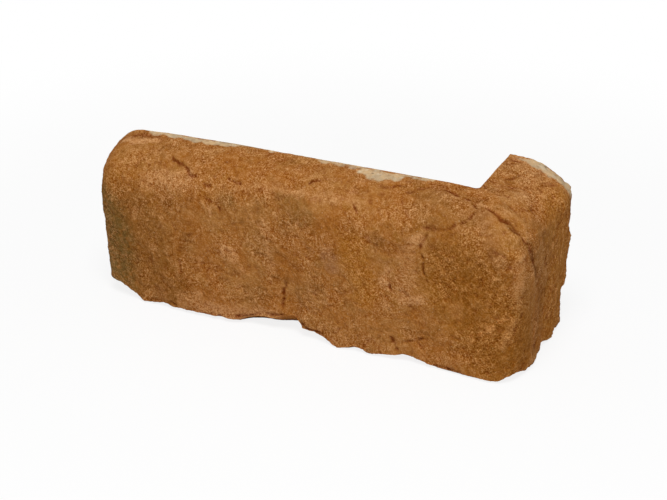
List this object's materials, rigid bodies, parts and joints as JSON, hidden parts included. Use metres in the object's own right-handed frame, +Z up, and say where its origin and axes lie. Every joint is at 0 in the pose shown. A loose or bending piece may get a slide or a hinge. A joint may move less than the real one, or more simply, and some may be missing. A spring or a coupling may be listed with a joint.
{
  "type": "concrete stone veneer corner",
  "caption": "L-shaped cast concrete veneer corner with a split-rock face carried round its outer corner, flat backs and a flat bed.",
  "frame": {"origin": "middle of the unit's box in plan, on the bed that it stands on", "axes": "+Z up; +X along the long leg towards the outer corner; the long leg's rock face looks towards -Y, and the return runs towards +Y with its rock face looking towards +X"},
  "size_m": [0.305, 0.1, 0.1149],
  "materials": {
    "pigmented_concrete": "rough sandy cast face coloured in sienna, ochre and brown, with pale bare concrete where the colour misses"
  },
  "bodies": {
    "root": {"veneer_corner": "pigmented_concrete"}
  },
  "joints": []
}
